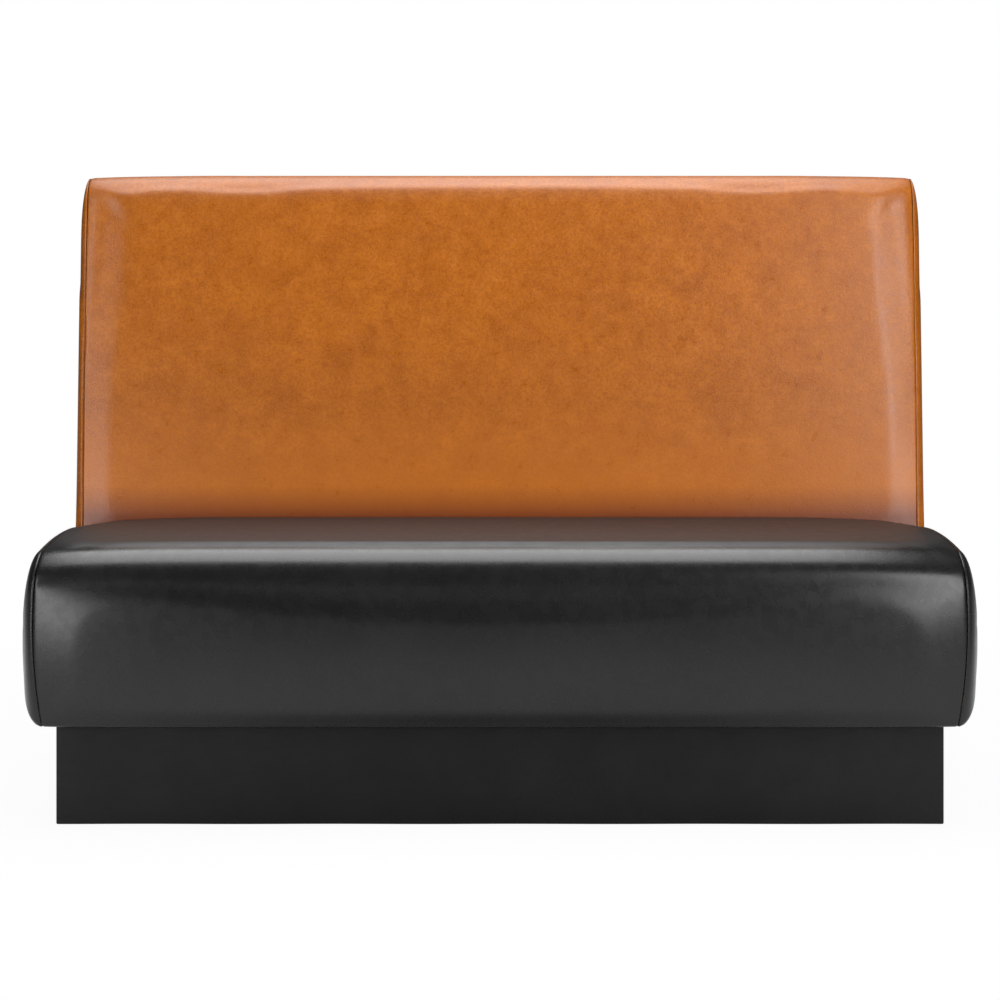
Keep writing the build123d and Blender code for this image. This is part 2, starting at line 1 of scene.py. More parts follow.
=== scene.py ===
import json
import math

import bmesh
import bpy
from bpy.props import FloatProperty, FloatVectorProperty, PointerProperty
from mathutils import Matrix, Vector
from mathutils.bvhtree import BVHTree


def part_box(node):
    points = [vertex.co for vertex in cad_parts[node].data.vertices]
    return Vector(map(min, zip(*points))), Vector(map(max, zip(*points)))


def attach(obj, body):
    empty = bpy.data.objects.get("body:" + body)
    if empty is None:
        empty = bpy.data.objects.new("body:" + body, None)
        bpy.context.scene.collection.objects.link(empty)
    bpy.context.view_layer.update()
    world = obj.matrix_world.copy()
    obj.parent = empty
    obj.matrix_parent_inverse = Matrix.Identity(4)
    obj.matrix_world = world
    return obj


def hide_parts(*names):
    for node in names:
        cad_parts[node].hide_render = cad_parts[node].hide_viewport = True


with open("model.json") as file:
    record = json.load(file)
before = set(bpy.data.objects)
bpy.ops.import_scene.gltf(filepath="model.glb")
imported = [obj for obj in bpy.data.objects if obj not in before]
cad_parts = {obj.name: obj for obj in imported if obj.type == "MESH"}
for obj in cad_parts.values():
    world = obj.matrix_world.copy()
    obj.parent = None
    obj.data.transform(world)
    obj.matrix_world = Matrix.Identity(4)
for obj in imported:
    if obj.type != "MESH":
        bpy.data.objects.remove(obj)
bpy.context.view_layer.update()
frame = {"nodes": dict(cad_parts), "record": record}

bl_info = {
    "name": "Restaurant booth",
    "version": (1, 0, 0),
    "blender": (4, 5, 0),
    "location": "View3D > Sidebar > Booth",
    "description": "Dresses a restaurant booth's frame in its leather back, vinyl seat and covered plinth",
    "category": "Object",
}

# The booth's main limits, read from the frame
SEAT_LOW, SEAT_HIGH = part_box("seat_top_cover")
BACK_LOW, BACK_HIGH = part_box("back_front_cover")
SEAT_END_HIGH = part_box("seat_right_cover")[1]
BACK_END_LOW, BACK_END_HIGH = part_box("back_right_cover")
PLINTH_LOW, PLINTH_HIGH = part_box("plinth_cover")

SEAT_SEAM = SEAT_HIGH[0]
BACK_SEAM = BACK_HIGH[0]
SEAT_REACH = SEAT_END_HIGH[0]
BACK_REACH = BACK_END_HIGH[0]
SEAT_FRONT = SEAT_LOW[1]
SEAT_BASE = SEAT_LOW[2]
SEAT_TOP = SEAT_HIGH[2]
BACK_REAR = BACK_HIGH[1]
BACK_TOP = BACK_HIGH[2]
BACK_BASE = BACK_END_LOW[2]
PAD_BOTTOM = BACK_LOW[2]
RAKE = math.tan(math.radians(7.2))
RAKE_FOOT = BACK_END_LOW[1]

# Sizes that the cushions' paths and the end panels share, in metres
SEAM_TO_FACE = 0.008        # how far behind the middle of the face its ends lie
SEAT_CROWN = 0.0115         # swell of the seat's top at its end seams
TOP_SETBACK = 0.002         # the seat's path below its top, and the swell that makes it up
EDGE_RISE = 0.006           # how much less the seat's front edge drops than its rear
HEM_DROP = 0.0015           # how far the seat's lower front corner lies below the solid's base
HEM_RADIUS = 0.009          # radius of the seat's lower front edge
SEAT_REAR_RADIUS = 0.012    # radius of the seat's top rear edge
BACK_REAR_RADIUS = 0.014    # radius of the back's top rear edge
SEAM_MID_HEIGHT = 0.34      # height at which the seat's end seams stand out most
SEAM_FULLNESS = 0.0025      # how far they stand out there
TAPER_DEPTH = 0.006         # how far the back's ends draw in above the seat
END_POWER = 8               # how late along the bench its ends' forms set in


def rgb(red, green, blue):
    """A colour given as screen values from 0 to 255, as the shader's linear values."""
    linear = []
    for value in (red, green, blue):
        share = value / 255
        linear.append(share / 12.92 if share <= 0.04045 else ((share + 0.055) / 1.055) ** 2.4)
    return tuple(linear) + (1.0,)


def rake_y(height):
    """Depth of the raked parting face between seat and back at this height."""
    return RAKE_FOOT + (height - BACK_BASE) * RAKE


# Settings


class BoothShape(bpy.types.PropertyGroup):
    """Sizes of the soft forms that can be changed."""

    crown_drop: FloatProperty(
        name="Seat end drop", description="How far the seat's top falls towards its end seams",
        default=0.014, min=0.0, max=0.03, unit="LENGTH")
    seat_nose: FloatProperty(
        name="Seat nose radius", description="Radius of the rounded front edge of the seat",
        default=0.065, min=0.02, max=0.08, unit="LENGTH")
    seat_bow: FloatProperty(
        name="Seat bow", description="How far the seat's top and front swell between their edges",
        default=0.0045, min=0.0, max=0.02, unit="LENGTH")
    back_nose: FloatProperty(
        name="Back edge radius", description="Radius of the back's top front edge",
        default=0.038, min=0.01, max=0.06, unit="LENGTH")
    back_bow: FloatProperty(
        name="Back bow", description="How far the back's face swells between seat and top",
        default=0.005, min=0.0, max=0.02, unit="LENGTH")
    slack: FloatProperty(
        name="Cover slack",
        description="How far a cover starts inside its final form before it is puffed out",
        default=0.001, min=0.0, max=0.01, unit="LENGTH")
    puff_travel: FloatProperty(
        name="Puff travel", description="The furthest that a point of a cover moves when it is puffed out",
        default=0.005, min=0.0, max=0.02, unit="LENGTH")
    cover_thickness: FloatProperty(
        name="Cover thickness", description="Thickness of the leather and vinyl covers",
        default=0.0014, min=0.0005, max=0.003, unit="LENGTH")
    tuck: FloatProperty(
        name="Seam tuck", description="How deep a cover's edge turns in at a seam",
        default=0.006, min=0.002, max=0.015, unit="LENGTH")
    mesh_step: FloatProperty(
        name="Panel mesh step", description="Distance between the rows of a cover's mesh",
        default=0.012, min=0.006, max=0.03, unit="LENGTH")


class BoothStitches(bpy.types.PropertyGroup):
    """Sizes of the seams' thread."""

    pitch: FloatProperty(
        name="Stitch pitch", description="Distance from one stitch to the next",
        default=0.0065, min=0.003, max=0.02, unit="LENGTH")
    length: FloatProperty(
        name="Stitch length", description="Length of one visible stitch",
        default=0.0048, min=0.002, max=0.015, unit="LENGTH")
    thread: FloatProperty(
        name="Thread thickness", description="Thickness of the sewing thread",
        default=0.0009, min=0.0004, max=0.002, unit="LENGTH")
    lap: FloatProperty(
        name="Lap", description="Distance of the stitch row from the seam's fold",
        default=0.0042, min=0.001, max=0.01, unit="LENGTH")


class BoothColours(bpy.types.PropertyGroup):
    """Colours of the booth's finishes."""

    tan: FloatVectorProperty(
        name="Tan leather", description="Middle tone of the back's leather",
        subtype="COLOR", size=4, default=rgb(156, 84, 4), min=0.0, max=1.0)
    tan_dark: FloatVectorProperty(
        name="Tan shadow tone", description="Darker clouds in the back's leather",
        subtype="COLOR", size=4, default=rgb(134, 66, 2), min=0.0, max=1.0)
    tan_light: FloatVectorProperty(
        name="Tan light tone", description="Lighter clouds in the back's leather",
        subtype="COLOR", size=4, default=rgb(174, 98, 14), min=0.0, max=1.0)
    vinyl: FloatVectorProperty(
        name="Seat vinyl", description="Colour of the seat's black vinyl",
        subtype="COLOR", size=4, default=rgb(15, 15, 16), min=0.0, max=1.0)
    plinth: FloatVectorProperty(
        name="Plinth vinyl", description="Colour of the plinth's black wrap",
        subtype="COLOR", size=4, default=rgb(17, 17, 18), min=0.0, max=1.0)
    wood: FloatVectorProperty(
        name="Plywood", description="Colour of the frame's plywood",
        subtype="COLOR", size=4, default=rgb(196, 160, 116), min=0.0, max=1.0)
    floor: FloatVectorProperty(
        name="Floor", description="Colour of the studio floor",
        subtype="COLOR", size=4, default=rgb(244, 244, 244), min=0.0, max=1.0)


# Materials


class Finish:
    """A material being wired: its nodes, its shader and the helpers that add to it."""

    def __init__(self, name):
        self.material = bpy.data.materials.new(name)
        self.material.use_nodes = True
        self.tree = self.material.node_tree
        self.shader = self.tree.nodes["Principled BSDF"]
        self.place = self.tree.nodes.new("ShaderNodeTexCoord").outputs["Object"]

    def node(self, kind, **settings):
        made = self.tree.nodes.new(kind)
        for key, value in settings.items():
            setattr(made, key, value)
        return made

    def join(self, source, target):
        self.tree.links.new(source, target)

    def stretched(self, scale):
        """The object's coordinates scaled unevenly."""
        mapping = self.node("ShaderNodeMapping")
        mapping.inputs["Scale"].default_value = scale
        self.join(self.place, mapping.inputs["Vector"])
        return mapping.outputs["Vector"]

    def height(self):
        """The object's height coordinate, for a finish that changes on the way up."""
        split = self.node("ShaderNodeSeparateXYZ")
        self.join(self.place, split.inputs[0])
        return split.outputs["Z"]

    def noise(self, scale, detail=3.0, roughness=0.55, place=None):
        made = self.node("ShaderNodeTexNoise")
        made.inputs["Scale"].default_value = scale
        made.inputs["Detail"].default_value = detail
        made.inputs["Roughness"].default_value = roughness
        self.join(place or self.place, made.inputs["Vector"])
        return made.outputs["Fac"]

    def cells(self, scale, feature="DISTANCE_TO_EDGE"):
        made = self.node("ShaderNodeTexVoronoi", feature=feature)
        made.inputs["Scale"].default_value = scale
        self.join(self.place, made.inputs["Vector"])
        return made.outputs["Distance"]

    def ranged(self, source, low, high, out_low=0.0, out_high=1.0):
        made = self.node("ShaderNodeMapRange")
        made.inputs["From Min"].default_value = low
        made.inputs["From Max"].default_value = high
        made.inputs["To Min"].default_value = out_low
        made.inputs["To Max"].default_value = out_high
        self.join(source, made.inputs["Value"])
        return made.outputs["Result"]

    def blend(self, share, first, second):
        """Two colours mixed; each may be a colour or another node's output."""
        made = self.node("ShaderNodeMix", data_type="RGBA")
        for socket, value in ((made.inputs[6], first), (made.inputs[7], second)):
            if hasattr(value, "is_linked"):
                self.join(value, socket)
            else:
                socket.default_value = value
        if hasattr(share, "is_linked"):
            self.join(share, made.inputs[0])
        else:
            made.inputs[0].default_value = share
        return made.outputs[2]

    def sum(self, first, second, how="ADD"):
        made = self.node("ShaderNodeMath", operation=how)
        for socket, value in zip(made.inputs, (first, second)):
            if hasattr(value, "is_linked"):
                self.join(value, socket)
            else:
                socket.default_value = value
        return made.outputs[0]

    def bump(self, height, distance, strength=1.0, over=None):
        made = self.node("ShaderNodeBump")
        made.inputs["Distance"].default_value = distance
        made.inputs["Strength"].default_value = strength
        self.join(height, made.inputs["Height"])
        if over is not None:
            self.join(over, made.inputs["Normal"])
        return made.outputs["Normal"]

    def finish(self, colour=None, roughness=None, normal=None, **constants):
        for key, value in constants.items():
            self.shader.inputs[key.replace("_", " ")].default_value = value
        for key, source in (("Base Color", colour), ("Roughness", roughness), ("Normal", normal)):
            if source is None:
                continue
            if hasattr(source, "is_linked"):
                self.join(source, self.shader.inputs[key])
            else:
                self.shader.inputs[key].default_value = source
        return self.material


def tan_leather(colours, name, shaded):
    """Waxed tan leather: soft clouds of tone and pebbled grain; with shaded set, painted shade darkens it
    just above the seat and painted light lifts it higher up.
    """
    made = Finish(name)
    broad = made.noise(5.0, 3.0, 0.55)
    clouds = made.noise(14.0, 5.0, 0.65)
    patches = made.noise(44.0, 3.0, 0.6)
    specks = made.noise(190.0, 2.0, 0.6)
    flecks = made.noise(420.0, 2.0, 0.6)
    tone = made.blend(made.ranged(clouds, 0.34, 0.66), tuple(colours.tan_dark), tuple(colours.tan_light))
    tone = made.blend(made.ranged(broad, 0.4, 0.6, 0.35, 0.65), tone, tuple(colours.tan))
    tone = made.blend(made.ranged(patches, 0.52, 0.66, 0.0, 0.4), tone, tuple(colours.tan_light))
    tone = made.blend(made.ranged(patches, 0.48, 0.34, 0.0, 0.4), tone, tuple(colours.tan_dark))
    tone = made.blend(made.ranged(specks, 0.45, 0.57, 0.0, 0.50), tone, tuple(colours.tan_dark))
    tone = made.blend(made.ranged(flecks, 0.48, 0.60, 0.0, 0.50), tone, tuple(colours.tan_light))
    height = made.height()
    if shaded:
        # Painted light: a lighter tone, strongest a few centimetres above the seat, lifting the shade that
        # falls there
        painted_light_lift = made.ranged(height, SEAT_TOP + 0.20, SEAT_TOP + 0.03, 0.0, 0.55)
        tone = made.blend(painted_light_lift, tone, rgb(190, 104, 6))
        # Painted shade: the leather darkens towards the seat, where the seat shades it
        low = made.ranged(height, SEAT_TOP + 0.055, SEAT_TOP, 0.0, 0.9)
        tone = made.blend(low, tone, rgb(104, 40, 0))
    pebbles = made.cells(430.0, "F1")
    creases = made.cells(150.0)
    grain = made.sum(pebbles, made.ranged(creases, 0.0, 0.12, 0.5, 0.0), "SUBTRACT")
    normal = made.bump(grain, 0.00018, 0.45)
    normal = made.bump(made.noise(38.0, 2.0), 0.0014, 0.16, normal)
    rough = made.ranged(patches, 0.3, 0.7, 0.27, 0.33)
    worn = made.ranged(height, BACK_TOP - 0.050, BACK_TOP - 0.012, 0.0, 0.20)
    return made.finish(tone, made.sum(rough, worn), normal, Specular_IOR_Level=0.45)


def black_vinyl(colours):
    """Smooth coated black vinyl with a faint printed grain and slight wear haze."""
    made = Finish("seat_vinyl")
    haze = made.noise(7.0, 4.0, 0.6)
    tone = made.blend(made.ranged(haze, 0.35, 0.7), tuple(colours.vinyl), rgb(20, 20, 21))
    grain = made.noise(420.0, 2.0, 0.5)
    normal = made.bump(grain, 0.0002, 0.25)
    normal = made.bump(made.noise(16.0, 2.0), 0.0014, 0.10, normal)
    smudge = made.noise(48.0, 4.0, 0.6)
    rough = made.ranged(smudge, 0.35, 0.65, 0.25, 0.30)
    sat_on = made.ranged(made.height(), SEAT_TOP - 0.010, SEAT_TOP - 0.003)
    rough = made.sum(rough, made.sum(sat_on, 0.25, "MULTIPLY"))
    return made.finish(tone, rough, normal, Specular_IOR_Level=0.45)


def plinth_vinyl(colours):
    """Matter black wrap, a little scuffed, with painted shade darkening it towards the floor."""
    made = Finish("plinth_skin")
    haze = made.noise(11.0, 4.0, 0.6)
    scuffs = made.noise(70.0, 4.0, 0.65, made.stretched((0.35, 0.35, 1.6)))
    tone = made.blend(made.ranged(haze, 0.35, 0.7), tuple(colours.plinth), rgb(22, 22, 23))
    # Painted shade: the wrap darkens over its lowest 6 cm, towards the floor
    low = made.ranged(made.height(), 0.06, 0.0, 0.0, 0.55)
    tone = made.blend(low, tone, rgb(12, 12, 13))
    grain = made.cells(520.0, "F1")
    normal = made.bump(grain, 0.00015, 0.5)
    normal = made.bump(made.noise(9.0, 2.0), 0.003, 0.10, normal)
    rough = made.ranged(scuffs, 0.4, 0.65, 0.46, 0.56)
    return made.finish(tone, rough, normal, Specular_IOR_Level=0.22)


def sewing_thread(name, colour, shade):
    """Twisted bonded thread, its shaded side in a second tone."""
    made = Finish(name)
    twist = made.noise(900.0, 2.0, 0.5, made.stretched((1.0, 1.0, 3.0)))
    tone = made.blend(made.ranged(twist, 0.4, 0.6, 0.0, 0.4), colour, shade)
    return made.finish(tone, 0.55, made.bump(twist, 0.0002, 0.6))


def plywood(colours):
    """Sawn plywood with long grain and thin plies."""
    made = Finish("birch_plywood")
    grain = made.noise(18.0, 6.0, 0.65, made.stretched((0.6, 9.0, 9.0)))
    pores = made.noise(160.0, 3.0, 0.6, made.stretched((0.3, 6.0, 6.0)))
    tone = made.blend(made.ranged(grain, 0.35, 0.65), tuple(colours.wood), rgb(166, 124, 80))
    tone = made.blend(made.ranged(pores, 0.55, 0.7, 0.0, 0.5), tone, rgb(120, 84, 50))
    return made.finish(tone, made.ranged(grain, 0.3, 0.7, 0.55, 0.75), made.bump(pores, 0.0004, 0.5))


def hardwood():
    made = Finish("beech")
    rings = made.noise(24.0, 5.0, 0.6, made.stretched((8.0, 8.0, 0.8)))
    tone = made.blend(made.ranged(rings, 0.35, 0.65), rgb(178, 134, 88), rgb(140, 98, 58))
    return made.finish(tone, 0.62, made.bump(rings, 0.0003, 0.5))


def hardboard():
    made = Finish("pressed_hardboard")
    fibres = made.noise(120.0, 5.0, 0.7)
    tone = made.blend(made.ranged(fibres, 0.35, 0.65), rgb(112, 78, 48), rgb(84, 56, 34))
    return made.finish(tone, 0.7, made.bump(fibres, 0.0004, 0.4))


def zinc_steel():
    made = Finish("zinc_plate")
    spangle = made.cells(260.0, "F1")
    tone = made.blend(made.ranged(spangle, 0.0, 0.6), rgb(196, 194, 186), rgb(168, 168, 164))
    return made.finish(tone, made.ranged(spangle, 0.0, 0.6, 0.3, 0.42), Metallic=1.0)


def spring_steel():
    made = Finish("spring_wire")
    film = made.noise(90.0, 3.0)
    tone = made.blend(made.ranged(film, 0.35, 0.65), rgb(92, 90, 88), rgb(70, 66, 62))
    return made.finish(tone, 0.38, Metallic=1.0)


def nylon():
    made = Finish("foot_nylon")
    skin = made.noise(300.0, 3.0)
    tone = made.blend(made.ranged(skin, 0.4, 0.6), rgb(34, 34, 35), rgb(48, 48, 49))
    return made.finish(tone, 0.5, made.bump(skin, 0.0001, 0.4))


def woven(name, light, dark, pitch):
    """A plain woven cloth with its warp and weft as crossing waves."""
    made = Finish(name)
    heights = []
    for scale in ((pitch, 0.0, 0.0), (0.0, pitch, 0.0)):
        wave = made.node("ShaderNodeTexWave", wave_type="BANDS", bands_direction="DIAGONAL")
        wave.inputs["Scale"].default_value = 1.0
        wave.inputs["Distortion"].default_value = 0.4
        made.join(made.stretched(scale), wave.inputs["Vector"])
        heights.append(wave.outputs["Fac"])
    weave = made.sum(heights[0], heights[1], "MULTIPLY")
    tone = made.blend(made.ranged(weave, 0.0, 0.8), dark, light)
    return made.finish(tone, 0.85, made.bump(weave, 0.0004, 0.6))


def foam_finish():
    made = Finish("cut_foam")
    cells = made.cells(520.0, "F1")
    tone = made.blend(made.ranged(cells, 0.0, 0.7), rgb(214, 200, 160), rgb(236, 226, 196))
    return made.finish(tone, 0.9, made.bump(cells, 0.0006, 0.7))


def dress(obj, material):
    """Gives an object one material."""
    obj.data.materials.clear()
    obj.data.materials.append(material)


def found(name):
    """A material that an earlier step made."""
    material = bpy.data.materials.get(name)
    if material is None:
        raise RuntimeError(f"{name} isn't made yet: run the finishes first")
    return material


# Mesh helpers


def clear_selection():
    if bpy.context.object and bpy.context.object.mode != "OBJECT":
        bpy.ops.object.mode_set(mode="OBJECT")
    bpy.ops.object.select_all(action="DESELECT")


def take(obj):
    """Makes one object the selected and active one."""
    clear_selection()
    obj.select_set(True)
    bpy.context.view_layer.objects.active = obj


def apply_modifiers(obj):
    take(obj)
    for modifier in list(obj.modifiers):
        bpy.ops.object.modifier_apply(modifier=modifier.name)


def settle(obj):
    """Applies the object's place and turn, so that they are in its mesh."""
    take(obj)
    bpy.ops.object.transform_apply(location=True, rotation=True, scale=True)


def cover_panel(name, columns, rows, place, held=None, closed=False):
    """A flat panel of cover, cut as a grid and wrapped to its form by place(column, row)."""
    clear_selection()
    bpy.ops.mesh.primitive_grid_add(x_subdivisions=columns - 1, y_subdivisions=rows - 1, size=1)
    panel = bpy.context.object
    panel.name = name
    panel.data.name = name
    for index, vertex in enumerate(panel.data.vertices):
        vertex.co = place(index % columns, index // columns)
    if held is not None:
        group = panel.vertex_groups.new(name="held")
        for index in range(columns * rows):
            weight = held(index % columns, index // columns)
            if weight > 0:
                group.add([index], weight, "REPLACE")
    bpy.ops.object.mode_set(mode="EDIT")
    bpy.ops.mesh.select_all(action="SELECT")
    if closed:
        bpy.ops.mesh.remove_doubles(threshold=0.00002)
        bpy.ops.mesh.select_all(action="SELECT")
    bpy.ops.mesh.normals_make_consistent(inside=False)
    bpy.ops.object.mode_set(mode="OBJECT")
    return panel


def face_outward(obj, outward):
    """Turns the panel's faces to the outside: outward is a direction its middle should face."""
    mean = Vector((0, 0, 0))
    for polygon in obj.data.polygons:
        mean += polygon.normal * polygon.area
    if mean.dot(Vector(outward)) < 0:
        take(obj)
        bpy.ops.object.mode_set(mode="EDIT")
        bpy.ops.mesh.select_all(action="SELECT")
        bpy.ops.mesh.flip_normals()
        bpy.ops.object.mode_set(mode="OBJECT")


def puff(obj, travel, pressure=4.0, frames=20):
    """Blows a cover out over its padding with its held edges fixed, no point moving past travel."""
    before = [vertex.co.copy() for vertex in obj.data.vertices]
    cloth = obj.modifiers.new("puff", "CLOTH")
    cloth.settings.quality = 5
    cloth.settings.mass = 0.35
    cloth.settings.tension_stiffness = 18
    cloth.settings.compression_stiffness = 18
    cloth.settings.shear_stiffness = 6
    cloth.settings.bending_stiffness = 1.2
    cloth.settings.use_pressure = True
    cloth.settings.uniform_pressure_force = pressure
    cloth.settings.vertex_group_mass = "held"
    cloth.settings.effector_weights.gravity = 0
    cloth.point_cache.frame_start = 1
    cloth.point_cache.frame_end = frames
    scene = bpy.context.scene
    for step in range(1, frames + 1):
        scene.frame_set(step)
    shape = obj.evaluated_get(bpy.context.evaluated_depsgraph_get())
    after = [vertex.co.copy() for vertex in shape.data.vertices]
    obj.modifiers.remove(cloth)
    scene.frame_set(1)
    normals = [vertex.normal.copy() for vertex in obj.data.vertices]
    for vertex, start, end, normal in zip(obj.data.vertices, before, after, normals):
        vertex.co = start + normal * min(max((end - start).dot(normal), 0), travel)


def close_cover(obj, thickness, levels=1):
    """Subdivides a cover, gives it its thickness inward and smooths its shading."""
    if levels:
        smoother = obj.modifiers.new("smoother", "SUBSURF")
        smoother.levels = levels
        smoother.render_levels = levels
    wall = obj.modifiers.new("wall", "SOLIDIFY")
    wall.thickness = thickness
    wall.offset = -1
    apply_modifiers(obj)
    take(obj)
    bpy.ops.object.shade_smooth()
    obj.vertex_groups.clear()


# Profiles: paths of (depth, height) points with rounded corners and bowed runs


def rounded(corners, radii):
    """Each corner's arrival, departure, centre and sweep; a radius of None leaves an end point bare."""
    knots = [Vector(corner) for corner in corners]
    turns = []
    for index, knot in enumerate(knots):
        if radii[index] is None:
            turns.append((knot, knot, None, 0))
            continue
        back_way = (knots[index - 1] - knot).normalized()
        onward = (knots[(index + 1) % len(knots)] - knot).normalized()
        half = back_way.angle(onward) / 2
        reach = radii[index] / math.tan(half)
        centre = knot + (back_way + onward).normalized() * (radii[index] / math.sin(half))
        first = knot + back_way * reach
        last = knot + onward * reach
        turns.append((first, last, centre, -(first - centre).angle_signed(last - centre)))
    return turns


def path_counts(corners, radii, step, closed=False):
    """How many mesh rows each run and each bend of a path is given."""
    turns = rounded(corners, radii)
    runs = []
    for index in range(len(turns) - (0 if closed else 1)):
        span = (turns[(index + 1) % len(turns)][0] - turns[index][1]).length
        runs.append(max(2, round(span / step)))
    bends = [max(6, round(abs(turn[3]) * (radius or 0) / step * 1.6)) for turn, radius in zip(turns, radii)]
    return runs, bends


def rounded_path(corners, radii, bows, counts, closed=False):
    """Points along a path: its corners rounded, its runs bowed outward, with the given row counts."""
    turns = rounded(corners, radii)
    runs, bends = counts
    points = []
    for index, (first, last, centre, sweep) in enumerate(turns):
        if centre is None:
            points.append(first)
        else:
            arm = first - centre
            for number in range(bends[index] + 1):
                points.append(centre + Matrix.Rotation(sweep * number / bends[index], 2) @ arm)
        if index == len(turns) - 1 and not closed:
            break
        run = turns[(index + 1) % len(turns)][0] - last
        left = Vector((-run.y, run.x)).normalized()
        for number in range(1, runs[index]):
            share = number / runs[index]
            points.append(last + run * share + left * (bows[index] * 4 * share * (1 - share)))
    return points


def seat_profile(x, inset, shape, counts=None):
    """The seat cover's path at x: from its turned-under edge, up the front, over and down behind."""
    share = min(abs(x) / SEAT_SEAM, 1) ** END_POWER
    front = SEAT_FRONT + shape.seat_bow + share * SEAM_TO_FACE + inset
    top = SEAT_TOP - TOP_SETBACK - inset
    front_top = top - share * (shape.crown_drop - EDGE_RISE)
    rear_top = top - share * shape.crown_drop
    gap = 0.0006 + inset * 0.5
    corners = [
        (SEAT_FRONT + 0.040, SEAT_BASE), (front, SEAT_BASE - HEM_DROP), (front, front_top),
        (rake_y(rear_top) - gap, rear_top), (rake_y(PAD_BOTTOM) - gap, PAD_BOTTOM),
    ]
    radii = [None, HEM_RADIUS, shape.seat_nose, SEAT_REAR_RADIUS, None]
    bows = [0.0, shape.seat_bow, TOP_SETBACK + share * (SEAT_CROWN - TOP_SETBACK), 0.0]
    if counts is None:
        return path_counts(corners, radii, shape.mesh_step)
    return rounded_path(corners, radii, bows, counts)


def back_profile(x, inset, shape, counts=None):
    """The back cover's path at x: up the face from behind the seat, over the top to the rear seam."""
    share = min(abs(x) / BACK_SEAM, 1) ** END_POWER
    top = BACK_TOP + 0.001 - share * 0.004 - inset
    face = inset + min(abs(x) / BACK_SEAM, 1) ** 40 * SEAM_TO_FACE
    corners = [
        (rake_y(PAD_BOTTOM) + 0.0004, PAD_BOTTOM), (rake_y(SEAT_TOP - 0.017) + 0.0004, SEAT_TOP - 0.017),
        (rake_y(top) + face + shape.back_bow / 2, top), (BACK_REAR - inset, top),
        (BACK_REAR - inset, BACK_TOP - 0.030),
    ]
    radii = [None, 0.1, shape.back_nose, BACK_REAR_RADIUS, None]
    bows = [0.0, shape.back_bow, 0.0015, 0.0]
    if counts is None:
        return path_counts(corners, radii, shape.mesh_step)
    return rounded_path(corners, radii, bows, counts)


def clamped(share):
    """A share kept between 0 and 1."""
    return min(max(share, 0), 1)


def seam_curve(seam, height):
    """How far an end seam stands out or in at this height: the seat's is fullest at mid height."""
    return SEAM_FULLNESS - 0.50 * (height - SEAM_MID_HEIGHT) ** 2 if seam == SEAT_SEAM else 0.0


def end_taper(seam, height):
    """How far the back's ends draw in above the seat, where the cover is pulled tighter."""
    if seam != BACK_SEAM:
        return 0.0
    return -TAPER_DEPTH * clamped((0.95 - height) / 0.49) * clamped((height - 0.28) / 0.14)


def cut_stations(reach, step):
    """Places along the bench for a cover's columns, closer together near its end seams."""
    count = max(8, round(2 * reach / step))
    places = []
    for number in range(count + 1):
        share = 2 * number / count - 1
        places.append(reach * (share * 1.12 - 0.12 * share ** 3 * abs(share)))
    return places


def long_cover(name, profile, reach, shape):
    """A long cover wrapped over its padding, its two end edges turned in at the seams."""
    stations = cut_stations(reach, shape.mesh_step)
    counts = profile(0, shape.slack, shape)
    paths = [profile(x, shape.slack, shape, counts) for x in stations]
    rows = len(paths[0])
    middles = [
        Vector((sum(p.x for p in path) / len(path), sum(p.y for p in path) / len(path))) for path in paths]
    columns = len(stations) + 4
    tucks = (shape.tuck, shape.tuck * 0.35)

    def place(column, row):
        number = min(max(column - 2, 0), len(stations) - 1)
        x = stations[number]
        point = paths[number][row]
        depth = 0.0
        if column < 2:
            depth = tucks[column]
            x += 0.0010 - 0.0006 * column
        if column > columns - 3:
            depth = tucks[columns - 1 - column]
            x -= 0.0010 - 0.0006 * (columns - 1 - column)
        inward = (middles[number] - point).normalized()
        spot = point + inward * depth
        moved = seam_curve(reach, spot.y) + end_taper(reach, spot.y)
        moved *= min(abs(x) / reach, 1) ** END_POWER
        x += moved if x > 0 else -moved
        return Vector((x, spot.x, spot.y))

    def held(column, row):
        edge = min(column, columns - 1 - column)
        end = min(row, rows - 1 - row)
        return 1.0 if edge < 3 or end < 2 else 0.0

    return cover_panel(name, columns, rows, place, held)


def seat_end_outline(swell, inset, shape):
    """Corners and radii of the seat's end panel when drawn in by its swell, from 0 to 1."""
    base = SEAT_BASE + swell * 0.080 + inset * 0.4
    top = SEAT_TOP - TOP_SETBACK - swell * 0.080 - inset
    front_top = top - (shape.crown_drop - EDGE_RISE)
    rear_top = top - shape.crown_drop
    front = SEAT_FRONT + shape.seat_bow + SEAM_TO_FACE + swell * 0.060 + inset
    gap = 0.0006 + swell * 0.045 + inset
    corners = [
        (rake_y(base) - gap, base), (front, base - HEM_DROP),
        (front, front_top), (rake_y(rear_top) - gap, rear_top),
    ]
    radii = [0.008, HEM_RADIUS, shape.seat_nose, SEAT_REAR_RADIUS]
    return corners, radii, [0.0, shape.seat_bow, SEAT_CROWN, 0.0]


def back_end_outline(swell, inset, shape):
    """Corners and radii of the back's end panel when drawn in by its swell, from 0 to 1."""
    base = BACK_BASE + swell * 0.480
    top = BACK_TOP - 0.003 - swell * 0.090 - inset
    face = inset + SEAM_TO_FACE + swell * 0.025
    rear = BACK_REAR - swell * 0.020 - inset
    corners = [
        (rear, base), (rake_y(base) + swell * 0.025, base), (rake_y(top) + face, top), (rear, top),
    ]
    return corners, [0.006, 0.006, shape.back_nose, BACK_REAR_RADIUS], [0.0, 0.0, 0.0, 0.0]


